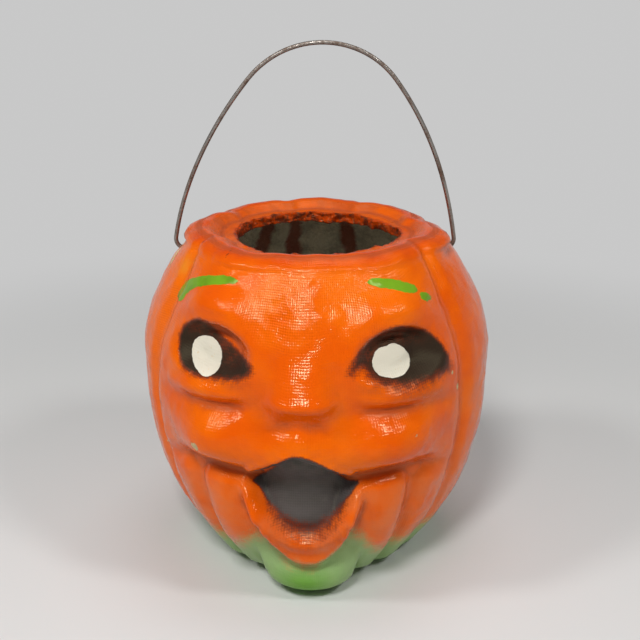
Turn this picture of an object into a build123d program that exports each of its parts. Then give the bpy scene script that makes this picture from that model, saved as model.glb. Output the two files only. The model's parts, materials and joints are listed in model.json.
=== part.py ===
# Moulded pulp jack-o'-lantern candy pail with a wire bail.
# Millimetres, +Z up, base on z = 0, face towards -Y, bail axis nearly along X.
from build123d import *
import os
from math import atan2, cos, degrees, exp, radians, sin, sqrt

# Pail body: outline of the side, seen from the front
body_width = 165.0  # across the widest level
body_height = 160.0  # base to rim crest
widest_height = 105.0  # base to the widest level
base_radius = 48.0  # where the side meets the base, before its round
crest_radius = 57.0  # where the side meets the rim crest, before its round
base_round = 6.0
crest_round = 4.0
lower_fullness = 2.8  # power of the curve below the widest level
upper_fullness = 1.68  # power of the curve above it
wall = 4.5
floor_thickness = 5.0
inside_round = 8.0

# Rim: a ledge sunk inside the crest, with a hole cut by hand
ledge_radius = 46.5
ledge_depth = 4.0
crest_slope = 3.0  # how much wider the sunken ledge is at the crest
rim_thickness = 5.0  # from the ledge down to the cavity
hole_radius = 38.3
hole_wobble = 0.7
hole_wave_shares = {3: 1.0, 7: 0.5}  # waves round the hole, with their shares of the wobble

# Lobes: valleys between them, as angles from the middle of the face
valley_angles = (58.0, 115.0, 158.0)
valley_depth = 4.0
valley_width = 5.5
lobe_spread = 19.0  # how far the lobes fall away towards a valley
lobe_crisp_share = 0.55  # share of the depth in the narrow crease
jaw_valley_angle = 38.5
jaw_valley_depth = 3.6

# Eyes: sunken, with an arched top and a flatter bottom
eye_angle = 31.5
eye_level_share = 0.742
eye_width = 50.0
eye_rise = 14.5
eye_drop = 12.0
eye_depth = 7.2
eye_top_wall = 6.0
eye_bottom_wall = 10.0

# Brow ridges over the eyes
brow_angle = 33.0
brow_level_share = 0.872
brow_length = 58.0
brow_height = 22.0
brow_stand = 4.5
brow_fall = 6.0  # from the ridge's middle to its ends

# Bags under the eyes, with a crease below them
bag_angle = 31.5
bag_level_share = 0.645
bag_length = 56.0
bag_height = 10.0
bag_stand = 1.9
bag_crease_level_share = 0.594
bag_crease_rise = 9.0
bag_crease_start = 16.0
bag_crease_end = 76.0
bag_crease_depth = 1.1
bag_crease_width = 3.8
bag_crease_power = 3
bag_crease_fade_share = 0.25  # share of its run over which each end fades

# Nose: a wedge that widens down to its tip
nose_top_share = 0.80
nose_tip_share = 0.65
nose_foot_share = 0.575
nose_top_width = 20.0
nose_tip_width = 36.0
nose_stand = 7.4
nose_fall_power = 1.6  # how late the bridge rises to the tip
nose_side_power = 1.5  # how flat the tip is across

# Cheeks and muzzle
cheek_angle = 26.0
cheek_level_share = 0.515
cheek_length = 62.0
cheek_height = 36.0
cheek_stand = 9.0
muzzle_level_share = 0.495
muzzle_length = 54.0
muzzle_height = 46.0
muzzle_stand = 6.5

# Jaw lobes beside the mouth
jaw_angle = 27.0
jaw_level_share = 0.23
jaw_length = 34.0
jaw_height = 66.0
jaw_stand = 4.5

# Smile creases, running out from the corners of the mouth
smile_angle = 28.5
smile_level_share = 0.426
smile_fall = 13.0
smile_reach = 45.0
smile_end = 84.0
smile_end_fade_share = 0.33
smile_start_share = 0.33  # of the width of the mouth, from its middle
smile_start_fade_share = 0.125
smile_depth = 4.6
smile_width = 5.0

# Mouth: open, with a crisp upper lip, in a lower lip that stands out like a spout
mouth_width = 56.0
mouth_corner_share = 0.41
mouth_peak_share = 0.515
mouth_peak_power = 1.2  # one for a straight gable, more for a rounder arch
mouth_bottom_share = 0.205
mouth_power = 2.4  # one for a vee, more for a rounder bottom
mouth_depth = 7.5
mouth_top_wall = 4.5
mouth_floor_wall = 8.5
upper_lip_stand = 2.2
upper_lip_height = 13.0
upper_lip_lift_share = 0.33  # of its height, above the edge of the mouth
upper_lip_reach_share = 1.2  # of half the width of the mouth
lip_width = 66.0
lip_bottom_share = 0.115
lip_power = 2.7
lip_stand = 9.0
lip_round = 7.0
lip_fade = 20.0  # from the corners down to where the lip stands full

# Chin lobe under the lower lip
chin_width = 60.0
chin_level_share = 0.045
chin_height = 44.0
chin_stand = 16.5
chin_power = 0.6

# Wire bail
wire_diameter = 2.1
bail_drop = 17.0  # rim crest down to the bail's axis
bail_back = 18.0  # middle of the bail's axis behind the middle of the pail
bail_turn = 4.3  # bail axis out of line with the face, as its holes were punched
bail_rise = 98.5  # bail axis up to the crown of the arch
bail_crown_angle = 52.0
bail_side_angle = 81.0
bail_bend = 5.0  # radius at the foot of the arch
bail_hole_diameter = 6.6
bail_clearance = 1.6  # bend of the wire to the edge of its hole
bail_hook_gap = 2.2  # hook to the cavity's wall and roof
bail_hook_bend = 2.2

# Fineness of the lofted shell
row_step = 2.9
front_angle = 72.0
front_columns = 66
back_columns = 52
round_rows = 4
reach_tries = 8
overrun = 5.0

half_width = body_width / 2
wire_radius = wire_diameter / 2
bail_level = body_height - bail_drop
ledge_level = body_height - ledge_depth
roof_level = ledge_level - rim_thickness


def bell(x):
    """One at zero, fading to nothing on both sides."""
    return exp(-x * x)


def hump(x):
    """One at zero, gone at one and beyond."""
    return max(0.0, 1 - x * x) ** 2


def ease(x):
    """Zero below zero, one above one, smooth between."""
    t = min(max(x, 0.0), 1.0)
    return t * t * (3 - 2 * t)


def round_off(radius, depth):
    """How far a rounded edge draws in at a depth below its face."""
    reach = max(0.0, radius - max(depth, 0.0))
    return radius - sqrt(radius * radius - reach * reach)


def side_radius(z):
    """The plain side of the pail at a height."""
    if z < widest_height:
        drop = (widest_height - z) / widest_height
        return half_width - (half_width - base_radius) * drop ** lower_fullness
    climb = (z - widest_height) / (body_height - widest_height)
    return half_width - (half_width - crest_radius) * climb ** upper_fullness


def side_slant(z):
    """How much longer the wall is when cut level than when cut square."""
    if z < widest_height:
        drop = (widest_height - z) / widest_height
        slope = lower_fullness * drop ** (lower_fullness - 1) * (half_width - base_radius) / widest_height
    else:
        height = body_height - widest_height
        climb = (z - widest_height) / height
        slope = upper_fullness * climb ** (upper_fullness - 1) * (half_width - crest_radius) / height
    return sqrt(1 + min(slope, 1.0) ** 2)


def arc_gap(angle, place):
    """Length round the widest level between an angle and a place, both in degrees."""
    return half_width * radians(abs((angle - place + 180) % 360 - 180))


def valley_at(angle):
    """The valleys between the lobes, right round the pail."""
    total = 0.0
    for place in valley_angles:
        for side in (place, -place):
            gap = arc_gap(angle, side)
            crease = lobe_crisp_share * bell(gap / valley_width)
            total += crease + (1 - lobe_crisp_share) * bell(gap / lobe_spread)
    return -valley_depth * total


def jaw_valley(side, z):
    """Short valley between the lobes under the cheeks."""
    below = ease((smile_level(side) - z) / smile_width)
    return -jaw_valley_depth * below * bell((side - half_width * radians(jaw_valley_angle)) / valley_width)


def eye(side, z, spread):
    """Sunken eye."""
    across = abs(side - half_width * radians(eye_angle)) / (eye_width / 2)
    up = z - body_height * eye_level_share
    along = up / eye_rise if up > 0 else -up / eye_drop
    inside = 1 - sqrt(across * across + along * along)
    wall_share = ease((up + eye_drop) / (eye_rise + eye_drop))
    wall_run = eye_bottom_wall + (eye_top_wall - eye_bottom_wall) * wall_share
    return -eye_depth * ease((inside * eye_rise + spread) / wall_run)


def brow(side, z):
    """Arched ridge over the eye."""
    across = (side - half_width * radians(brow_angle)) / (brow_length / 2)
    level = body_height * brow_level_share - brow_fall * across * across
    return brow_stand * hump(across) * hump((z - level) / (brow_height / 2))


def bag(side, z):
    """Swelling under the eye, with its crease."""
    across = (side - half_width * radians(bag_angle)) / (bag_length / 2)
    level = body_height * bag_level_share
    swell = bag_stand * hump(across) * hump((z - level) / (bag_height / 2))
    run = (side - bag_crease_start) / (bag_crease_end - bag_crease_start)
    crease_level = body_height * bag_crease_level_share + bag_crease_rise * (1 - run) ** bag_crease_power
    ends = ease(run / bag_crease_fade_share) * ease((1 - run) / bag_crease_fade_share)
    crease = bag_crease_depth * ends * bell((z - crease_level) / bag_crease_width)
    return swell - crease


def nose(side, z):
    """Wedge of the nose, cut off under its tip."""
    top = body_height * nose_top_share
    tip = body_height * nose_tip_share
    foot = body_height * nose_foot_share
    down = min(max((top - z) / (top - tip), 0.0), 1.0)
    half = (nose_top_width + (nose_tip_width - nose_top_width) * down) / 2
    under = ease((z - foot) / (tip - foot))
    return nose_stand * down ** nose_fall_power * under * hump((side / half) ** nose_side_power)


def cheek(side, z):
    """Cheek that the smile pushes up."""
    across = (side - half_width * radians(cheek_angle)) / (cheek_length / 2)
    return cheek_stand * hump(across) * hump((z - body_height * cheek_level_share) / (cheek_height / 2))


def muzzle(side, z):
    """Swelling between the nose and the mouth."""
    level = body_height * muzzle_level_share
    return muzzle_stand * hump(side / (muzzle_length / 2)) * hump((z - level) / (muzzle_height / 2))


def smile_level(side):
    """Height of the smile's crease."""
    run = (side - half_width * radians(smile_angle)) / smile_reach
    return body_height * smile_level_share - smile_fall * run * run


def smile(side, z):
    """Crease from the corner of the mouth out under the cheek."""
    start = ease((side / mouth_width - smile_start_share) / smile_start_fade_share)
    end = ease((1 - side / smile_end) / smile_end_fade_share)
    return -smile_depth * start * end * bell((z - smile_level(side)) / smile_width)


def cup_gap(side, z, width, bottom, power):
    """Distance inside a cup-shaped outline whose brim is level with the corners of the mouth."""
    share = side / (width / 2)
    drop = body_height * mouth_corner_share - bottom
    edge = bottom + drop * share ** power
    steep = power * drop / (width / 2) * share ** (power - 1)
    return (z - edge) / sqrt(1 + steep * steep)


def mouth(side, z, spread):
    """Open mouth, with the lips that stand round it."""
    share = side / (mouth_width / 2)
    corner = body_height * mouth_corner_share
    peak = body_height * mouth_peak_share
    top_edge = peak - (peak - corner) * min(share, 1.0) ** mouth_peak_power
    inside = cup_gap(side, z, mouth_width, body_height * mouth_bottom_share, mouth_power) + spread
    dent = mouth_depth * ease(min((top_edge + spread - z) / mouth_top_wall, inside / mouth_floor_wall))
    around = cup_gap(side, z, lip_width, body_height * lip_bottom_share, lip_power) - spread
    lower = lip_stand * ease(around / lip_round) * ease((corner - z) / lip_fade)
    above = (z - top_edge) / upper_lip_height - upper_lip_lift_share
    upper = upper_lip_stand * hump(share / upper_lip_reach_share) * hump(above)
    return lower + upper - dent


def chin(side, z, spread):
    """Lobe at the foot of the face."""
    across = max(0.0, 1 - (side / (chin_width / 2 - spread)) ** 2) ** chin_power
    return chin_stand * across * hump((z - body_height * chin_level_share) / (chin_height / 2))


def jaw(side, z):
    """Upright swelling beside the mouth."""
    across = (side - half_width * radians(jaw_angle)) / (jaw_length / 2)
    return jaw_stand * hump(across) * hump((z - body_height * jaw_level_share) / (jaw_height / 2))


def main_relief(angle, z, spread):
    """Relief that the whole wall follows; its hollows spread wider on the inside."""
    side = arc_gap(angle, 0)
    hollows = eye(side, z, spread) + mouth(side, z, spread)
    swells = brow(side, z) + nose(side, z) + cheek(side, z) + muzzle(side, z) + jaw(side, z)
    return valley_at(angle) + hollows + swells + chin(side, z, spread)


def fine_relief(angle, z):
    """Creases that only mark the outside."""
    side = arc_gap(angle, 0)
    return bag(side, z) + smile(side, z) + jaw_valley(side, z)


def skin_radius(angle, z):
    """Outside of the pail."""
    edges = round_off(base_round, z) + round_off(crest_round, body_height - z)
    return side_radius(z) + main_relief(angle, z, 0.0) + fine_relief(angle, z) - edges


def cavity_radius(angle, z):
    """Inside of the pail."""
    edges = round_off(inside_round, z - floor_thickness) + round_off(inside_round, roof_level - z)
    return side_radius(z) + main_relief(angle, z, wall) - wall * side_slant(z) - edges


def ledge_edge(angle, z):
    """Sloping edge of the sunken ledge, which follows the lobes."""
    return ledge_radius + crest_slope * (z - ledge_level) / ledge_depth + valley_at(angle)


def hole_edge(angle, z):
    """Edge of the hand-cut hole."""
    turn = radians(angle)
    waves = [share * sin(count * turn + count) for count, share in hole_wave_shares.items()]
    return hole_radius + hole_wobble * sum(waves)


def columns():
    """Angles round the pail from the back, closer together on the face."""
    half = back_columns // 2
    step = (180 - front_angle) / half
    right = [front_angle + step * i for i in range(half + 1)]
    front = [front_angle * (2 * i / front_columns - 1) for i in range(1, front_columns)]
    return [-angle for angle in reversed(right)] + front + right[:-1]


def rows(low, high, low_round, high_round):
    """Heights of the sections, closer together in the rounded edges."""
    quarter = [radians(90 * i / round_rows) for i in range(round_rows)]
    lower = [low + low_round * (1 - cos(turn)) for turn in quarter]
    upper = [high - high_round * (1 - cos(turn)) for turn in reversed(quarter)]
    start = low + low_round
    span = high - high_round - start
    count = max(2, round(span / row_step))
    return lower + [start + span * i / count for i in range(count + 1)] + upper


def section(radius_at, z):
    """Closed curve of a surface at one height, from the back round to the back."""
    angles = columns()
    points = []
    for angle in angles:
        radius = radius_at(angle, z)
        points.append((radius * sin(radians(angle)), -radius * cos(radians(angle)), z))
    shares = [(angle + 180) / 360 for angle in angles] + [1.0]
    return Wire([Edge.make_spline(points, periodic=True, parameters=shares)])


def lofted(radius_at, levels):
    """Solid inside a surface, through its sections at the levels."""
    return Solid.make_loft([section(radius_at, z) for z in levels])


def side_reach(radius_at, z, side):
    """Distance along the bail's axis from its middle to a surface, on the right (1) or the left (-1)."""
    turn = radians(bail_turn)
    near = bail_back * sin(turn)
    reach = side_radius(z)
    for _ in range(reach_tries):
        across = side * reach * cos(turn)
        back = bail_back + side * reach * sin(turn)
        radius = radius_at(degrees(atan2(across, -back)), z)
        reach = sqrt(radius ** 2 - bail_back ** 2 + near ** 2) - side * near
    return reach


def make_body():
    """Pulp shell, with its rim, hole and bail holes."""
    shell = lofted(skin_radius, rows(0, body_height, base_round, crest_round))
    cavity = lofted(cavity_radius, rows(floor_thickness, roof_level, inside_round, inside_round))
    ledge = lofted(ledge_edge, [ledge_level, body_height + overrun])
    hole = lofted(hole_edge, [roof_level - overrun, body_height + overrun])
    bore = Rot(0, 0, bail_turn) * Rot(0, 90, 0) * Cylinder(bail_hole_diameter / 2, 2 * body_width)
    bore = Pos(0, bail_back, bail_level) * bore
    return shell - cavity - ledge - hole - bore


def bail_path():
    """Middle line of the wire, in a plane with its origin on the bail's axis."""
    room = bail_hole_diameter / 2 - wire_radius - bail_clearance
    inset = sqrt(bail_bend ** 2 - (bail_bend - room) ** 2)
    right, left = [side_reach(skin_radius, bail_level, side) - inset for side in (1, -1)]
    hook_rise = roof_level - bail_level - bail_hook_gap
    hook_level = bail_level + hook_rise
    hook_inset = bail_hook_gap + wire_radius
    right_hook, left_hook = [side_reach(cavity_radius, hook_level, side) - hook_inset for side in (1, -1)]
    turn = 180 - bail_side_angle
    foot = (right + left) / 2 + bail_bend * sin(radians(turn))
    span = bail_rise - bail_bend * (1 - cos(radians(turn)))
    crown_angle = radians(bail_crown_angle)
    side_angle = radians(bail_side_angle)
    crown_out = sin(crown_angle)
    crown_down = 1 - cos(crown_angle)
    side_out = sin(side_angle) - sin(crown_angle)
    side_down = cos(crown_angle) - cos(side_angle)
    split = crown_out * side_down - side_out * crown_down
    crown_radius = (foot * side_down - side_out * span) / split
    flank_radius = (crown_out * span - crown_down * foot) / split
    flank_turn = bail_side_angle - bail_crown_angle
    path = [Line((right_hook, hook_rise), (right_hook, bail_hook_bend))]
    path.append(JernArc(path[-1] @ 1, path[-1] % 1, bail_hook_bend, 90))
    path.append(Line(path[-1] @ 1, (right, 0)))
    arcs = [(bail_bend, turn), (flank_radius, flank_turn), (crown_radius, 2 * bail_crown_angle)]
    arcs += [(flank_radius, flank_turn), (bail_bend, turn)]
    for radius, size in arcs:
        path.append(JernArc(path[-1] @ 1, path[-1] % 1, radius, size))
    path.append(Line(path[-1] @ 1, (bail_hook_bend - left_hook, 0)))
    path.append(JernArc(path[-1] @ 1, path[-1] % 1, bail_hook_bend, 90))
    path.append(Line(path[-1] @ 1, (-left_hook, hook_rise)))
    return Wire([piece.edge() for piece in path])


def make_bail():
    """Wire swept along its middle line."""
    turn = radians(bail_turn)
    middle = (0, bail_back, bail_level)
    plane = Plane(origin=middle, x_dir=(cos(turn), sin(turn), 0), z_dir=(sin(turn), -cos(turn), 0))
    path = plane * bail_path()
    start = Plane(origin=path @ 0, z_dir=path % 0)
    return sweep(start * Circle(wire_radius), path=path)


os.makedirs("parts", exist_ok=True)
export_step(make_body(), "parts/pulp_body.step")
export_step(make_bail(), "parts/wire_bail.step")
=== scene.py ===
import json
from math import cos, pi, radians, sin

import bpy
import numpy as np
from bpy.props import FloatProperty, FloatVectorProperty, IntProperty, PointerProperty
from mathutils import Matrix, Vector, noise
from mathutils.bvhtree import BVHTree


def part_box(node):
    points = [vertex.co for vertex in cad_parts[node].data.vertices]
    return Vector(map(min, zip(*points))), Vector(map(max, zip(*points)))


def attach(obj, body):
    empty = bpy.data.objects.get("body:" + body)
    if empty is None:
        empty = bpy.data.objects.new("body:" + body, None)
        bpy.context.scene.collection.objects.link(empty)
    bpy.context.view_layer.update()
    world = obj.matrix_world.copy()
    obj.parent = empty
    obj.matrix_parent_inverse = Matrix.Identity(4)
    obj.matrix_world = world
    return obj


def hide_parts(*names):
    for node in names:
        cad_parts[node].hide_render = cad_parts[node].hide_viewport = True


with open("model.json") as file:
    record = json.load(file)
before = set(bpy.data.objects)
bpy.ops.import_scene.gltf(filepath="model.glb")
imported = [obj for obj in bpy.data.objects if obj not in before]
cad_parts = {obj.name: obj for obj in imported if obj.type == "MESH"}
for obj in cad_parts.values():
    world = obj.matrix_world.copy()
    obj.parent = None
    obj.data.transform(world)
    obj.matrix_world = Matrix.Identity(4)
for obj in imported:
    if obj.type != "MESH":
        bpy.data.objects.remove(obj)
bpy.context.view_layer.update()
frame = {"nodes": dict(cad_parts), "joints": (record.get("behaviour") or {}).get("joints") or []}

bl_info = {
    "name": "Pumpkin Candy Pail",
    "version": (1, 0, 0),
    "blender": (4, 5, 0),
    "location": "View3D > Sidebar > Pail",
    "description": "Moulds and paints a pulp jack-o'-lantern candy pail with a wire bail",
    "category": "Add Mesh",
}

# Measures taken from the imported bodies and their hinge, in metres, and the way of its axis
half_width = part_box("pulp_body")[1].x
pail_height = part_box("pulp_body")[1].z
bail_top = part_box("wire_bail")[1].z
bail_middle = Vector(frame["joints"][0]["pos_m"])
bail_way = Vector(frame["joints"][0]["axis"]).normalized()

# The view that the face was measured in: a square frame, seen from in front and a little above.
# Lengths are in metres, angles in degrees, and the lens and its sensor in millimetres.
frame_pixels = 640
view_distance = 0.56
view_height = 0.1122
view_turn = 4.5
view_rise = 19.4
view_lens = 65.2
view_shift_share = 0.0055
sensor_width = 36.0

# Stencils of the painted face, as pixels of that frame
left_eye = ((179, 345), (181, 331), (188, 322), (199, 319), (211, 325), (222, 335), (233, 345), (244, 357),
            (252, 369), (249, 376), (238, 380), (223, 380), (208, 378), (195, 375), (185, 369), (180, 358))
right_eye = ((351, 374), (354, 362), (361, 350), (371, 340), (384, 332), (396, 327), (411, 327), (424, 330),
             (435, 337), (444, 347), (449, 358), (449, 368), (441, 375), (426, 382), (411, 386), (396, 386),
             (381, 383), (370, 376), (362, 367))
left_pupil = ((194, 341), (200, 336), (210, 336), (218, 342), (222, 352), (221, 363), (217, 371), (210, 376),
              (203, 376), (197, 370), (193, 361), (192, 350))
right_pupil = ((372, 362), (374, 354), (379, 348), (386, 346), (393, 343), (401, 346), (408, 353), (410, 361),
               (408, 370), (401, 376), (392, 378), (381, 376), (374, 370))
left_brow = ((180, 299), (184, 291), (191, 284), (202, 281), (215, 280), (227, 280), (236, 281))
right_brow = ((369, 282), (376, 282), (390, 284), (401, 286), (412, 289), (416, 290))
right_brow_tip = ((421, 294), (425, 296), (430, 299))
mouth_outline = ((253, 479), (271, 469), (283, 461), (294, 457), (307, 459), (323, 466), (338, 474),
                 (349, 480), (359, 481), (354, 489), (347, 499), (339, 511), (330, 522), (320, 530),
                 (309, 533), (296, 529), (284, 521), (274, 510), (267, 499), (260, 487))
lip_outline = ((256, 490), (261, 505), (267, 519), (276, 539), (284, 548), (293, 556), (303, 562), (313, 564),
               (323, 561), (333, 554), (340, 545), (346, 535), (354, 514), (359, 499), (361, 487), (310, 450))

# Soft spots of thin black and of overspray in that frame, as middle, half width, half height and strength
thin_spots = ((230, 347, 14, 15, 1.0), (206, 327, 20, 7, 0.9), (365, 352, 13, 14, 0.9),
              (394, 334, 26, 8, 1.0))
haze_spots = ((408, 391, 36, 9, 1.0), (236, 385, 20, 6, 0.5), (309, 539, 32, 11, 0.75))

# Marks round the sides, as points of angle from the middle of the face in degrees and height in metres
bare_edge = ((-93, 0.1555), (-89, 0.1524), (-85.5, 0.1513), (-82, 0.1476), (-80.5, 0.1462), (-77, 0.1418))
rim_crack = ((-38.4, 0.1592), (-36.6, 0.1560))

# Small chips in the paint, as angle, height and radius
paint_chips = ((-31.4, 0.0797, 0.0021), (52.2, 0.1070, 0.0013), (56.4, 0.0984, 0.0016),
               (33.5, 0.0872, 0.0008), (-64.0, 0.0610, 0.0010), (118.0, 0.1320, 0.0017),
               (150.0, 0.0880, 0.0013), (-132.0, 0.1040, 0.0016), (-170.0, 0.1260, 0.0012),
               (92.0, 0.0480, 0.0014), (-101.0, 0.0700, 0.0011))

# Paint that ran down the back wall inside, as angle, half width and length
paint_runs = ((-151, 0.0052, 0.080), (-165, 0.0056, 0.074), (170, 0.0050, 0.080), (104, 0.0034, 0.034))

# How far round the face has finer columns, and how far its stencils reach, in degrees
face_reach = 75
stencil_reach = 80

# How far the hand-moulded face strays sideways, as height in metres and shift in degrees
mouth_sway = ((0.0, 1.6), (0.030, 1.3), (0.052, 0.0), (0.083, -1.6), (0.105, 0.0))
right_groove_sway = ((0.0, 0.0), (0.060, 3.0), (0.083, 4.6), (0.100, 2.7), (0.120, 1.9), (0.1375, 0.7),
                     (0.160, 3.2))
left_groove_sway = ((0.0, 0.0), (0.060, -4.0), (0.087, -7.0), (0.114, -3.1), (0.128, -1.4), (0.140, -0.7),
                    (0.149, -2.8), (0.156, -5.6), (0.160, -8.0))
groove_angle = 58
groove_sway_reach = 16
mouth_sway_reach = 40
mouth_sway_fade = 18

# Corners of the rim that stand out over the shoulders, as angle, stand and reach in degrees
rim_corners = ((82, 0.0020, 12), (-92, 0.0017, 14))

# Soft edges of the stencilled paint, in pixels: where they soften, over how much, and how soft they are
eye_soften = (352, 26)
eye_edge = 2.0
left_eye_blur = 2.4
right_eye_blur = 5.0
mouth_soften = (492, 36)
mouth_edge = 1.3
mouth_blur = 10.5
lip_edge = 3.0
mouth_box = ((306, 473), (52, 26))  # middle and half size of the part of the mouth with hidden walls

# Brush strokes of the brows, in pixels, and how thin a stroke is at its ends
brow_half = 5.2
brow_tip_half = 4.4
brow_edge = 2.0
stroke_end_share = 0.4

# Sprayed green round the foot and on the chin, as heights in metres and angles in degrees
foot_green_top = 0.0195
left_green_rise = 0.012
right_green_rise = 0.015
foot_green_fade = 0.0085
beside_chin = 17
beside_chin_reach = 9
lip_under = 0.036
lip_under_fade = 0.006
chin_green_top = 0.024
chin_green_fade = 0.014
chin_reach = 11

# Wear, painted shade in the creases and the ledge's corner, and a painted floor reflection low on the body:
# lengths in metres, angles in degrees and shares
# Crease depth at which its dust and painted shade are full
crease_full = 0.0017
# Strength of the painted shade in the corner where the rim's slope meets the ledge
corner_shade_share = 1.4
rim_paint_foot = 0.1535
rim_paint_fade = 0.005
ledge_red_share = 0.35
# Height below which the body takes pink dust and a painted reflection of the pale floor, and how far it fades
low_sheen_top = 0.078
low_sheen_fade = 0.035
chip_edge = 0.0003
bare_half = 0.0017
smear_angle = -63
smear_height = 0.148
smear_reach = 5.5
smear_half_height = 0.006
crack_half = 0.0007
run_edge = 0.002
run_taper = 4  # how much longer than wide the soft end of a run is
base_paint_edge = 0.046
base_paint_fade = 0.012

# Grain of the paint, the pulp and the wire: spacing and depth in metres
broad_size = 0.045
patch_size = 0.012
ragged_size = 0.0035
fine_size = 0.0014
stray_size = 0.02
stray_turn = 9.0  # how far the screen's threads stray, in radians
ripple_size = 0.004
ripple_depth = 0.0003
pulp_size = 0.0026
pulp_depth = 0.002
enamel_depth = 0.00025
tarnish_size = 0.006
pit_size = 0.0011
pit_depth = 0.00008

# Roughness of each finish, and how metallic the wire is where it is worn and tarnished
gloss_rough = (0.11, 0.19)
dusty_rough = 0.4
sprayed_rough = 0.42
airbrushed_rough = 0.5
brow_rough = 0.26
bare_rough = 0.95
wire_rough = (0.34, 0.62)
wire_metal_shares = (1.0, 0.55)
floor_rough = 0.7

# Bores of the bail holes: their sides, and how far past its radius a bore's wall is looked for
bore_sides = 28
bore_reach_share = 1.02

corner_rows = 5  # rows in a rounded corner
weld_gap = 1e-6  # points nearer than this are joined, in metres
tiny = 1e-12
far_away = -20.0  # depth outside a painted outline, where the paint can't reach
well_inside = 20.0  # depth inside it, where nothing else shows


class PailShape(bpy.types.PropertyGroup):
    """Sizes of the moulded body's surface."""

    front_columns: IntProperty(name="Face columns", description="Columns of faces on the front", default=236)
    back_columns: IntProperty(name="Back columns", description="Columns of faces round the back", default=180)
    row_step: FloatProperty(
        name="Row step", description="Height of a row of faces", default=0.00110, unit="LENGTH")
    lip_step: FloatProperty(
        name="Lip row step", description="Height of a row of faces round the lower lip", default=0.0006,
        unit="LENGTH")
    cavity_step: FloatProperty(
        name="Cavity row step", description="Height of a row of faces inside", default=0.006, unit="LENGTH")
    lump_height: FloatProperty(
        name="Lumps", description="Height of the soft lumps in the pulp", default=0.00050, unit="LENGTH")
    lump_size: FloatProperty(
        name="Lump size", description="Spacing of the soft lumps", default=0.015, unit="LENGTH")
    grain_height: FloatProperty(
        name="Grain", description="Height of the small lumps in the pulp", default=0.00020, unit="LENGTH")
    grain_size: FloatProperty(
        name="Grain size", description="Spacing of the small lumps", default=0.0048, unit="LENGTH")
    crispness: FloatProperty(
        name="Crispness", description="How much the creases are sharpened", default=0.65, subtype="FACTOR")
    fold_height: FloatProperty(
        name="Forehead folds", description="Height of the soft folds of the forehead", default=0.00045,
        unit="LENGTH")
    collar_height: FloatProperty(
        name="Collar", description="Height of the collar round the rim", default=0.0062, unit="LENGTH")
    collar_stand: FloatProperty(
        name="Collar stand", description="How far the collar stands out", default=0.0004, unit="LENGTH")
    collar_groove: FloatProperty(
        name="Collar groove", description="Depth of the groove under the collar", default=0.0005,
        unit="LENGTH")
    collar_step: FloatProperty(
        name="Collar step", description="Half width of the groove under the collar", default=0.0009,
        unit="LENGTH")
    rim_wave: FloatProperty(
        name="Rim wave", description="How far the rim rises and falls", default=0.0011, unit="LENGTH")
    tear_depth: FloatProperty(
        name="Torn edge", description="Roughness of the torn edge of the hole", default=0.0023, unit="LENGTH")
    tear_size: FloatProperty(
        name="Tear size", description="Spacing of the tears", default=0.0046, unit="LENGTH")
    bail_hole: FloatProperty(
        name="Bail hole", description="Diameter of the bail holes", default=0.0066, unit="LENGTH")
    least_wall: FloatProperty(
        name="Least wall", description="Thickness of the wall behind the deepest crease", default=0.0022,
        unit="LENGTH")
    enamel: FloatProperty(
        name="Enamel", description="Thickness of the brush strokes of the brows", default=0.00045,
        unit="LENGTH")


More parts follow.
